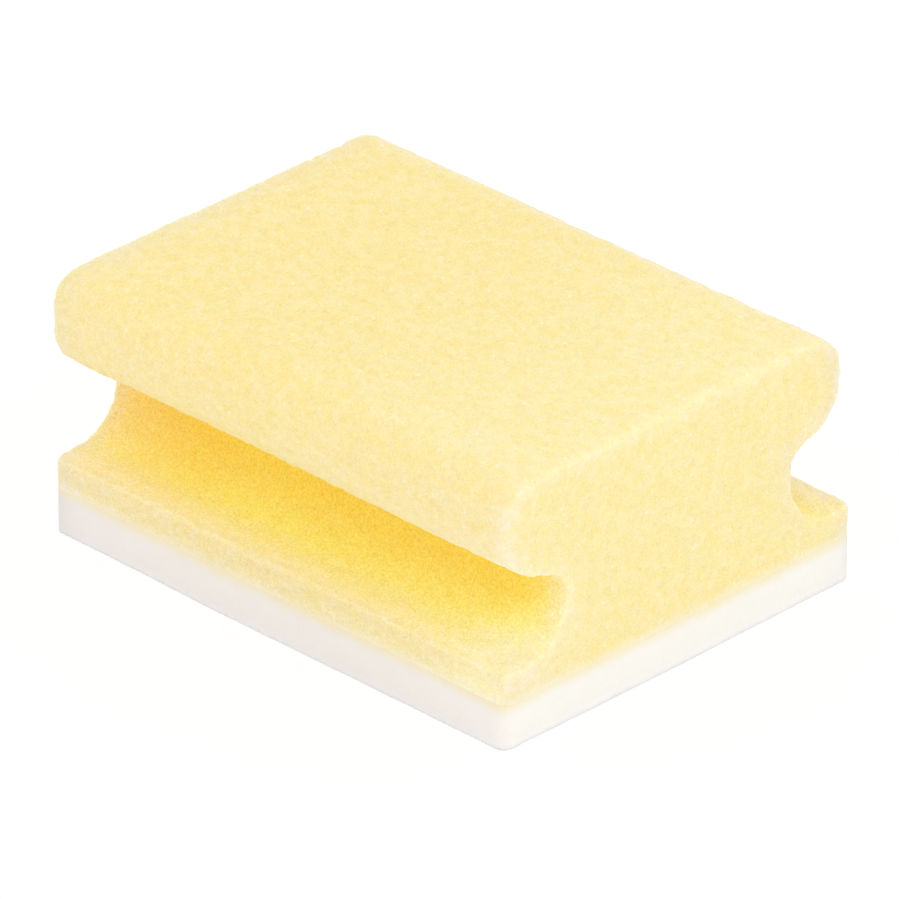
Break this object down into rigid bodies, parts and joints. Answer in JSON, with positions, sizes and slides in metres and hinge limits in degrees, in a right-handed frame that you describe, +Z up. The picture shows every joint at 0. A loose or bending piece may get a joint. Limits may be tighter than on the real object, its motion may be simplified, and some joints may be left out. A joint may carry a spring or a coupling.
{
  "type": "cleaning sponge",
  "caption": "Soft foam cleaning sponge with a wide rounded head, a finger groove along both long sides and a thin white scouring pad under its flange.",
  "frame": {"origin": "middle of the pad's underside, where the sponge rests", "axes": "+X along the finger grooves, +Y across them, +Z up through the head"},
  "size_m": [0.09, 0.07, 0.0408],
  "materials": {
    "foam": "pale yellow open-cell foam, matt and slightly translucent",
    "scouring_fleece": "white non-woven fibre pad, matt"
  },
  "bodies": {
    "root": {"foam_body": "foam", "scouring_pad": "scouring_fleece"}
  },
  "joints": []
}
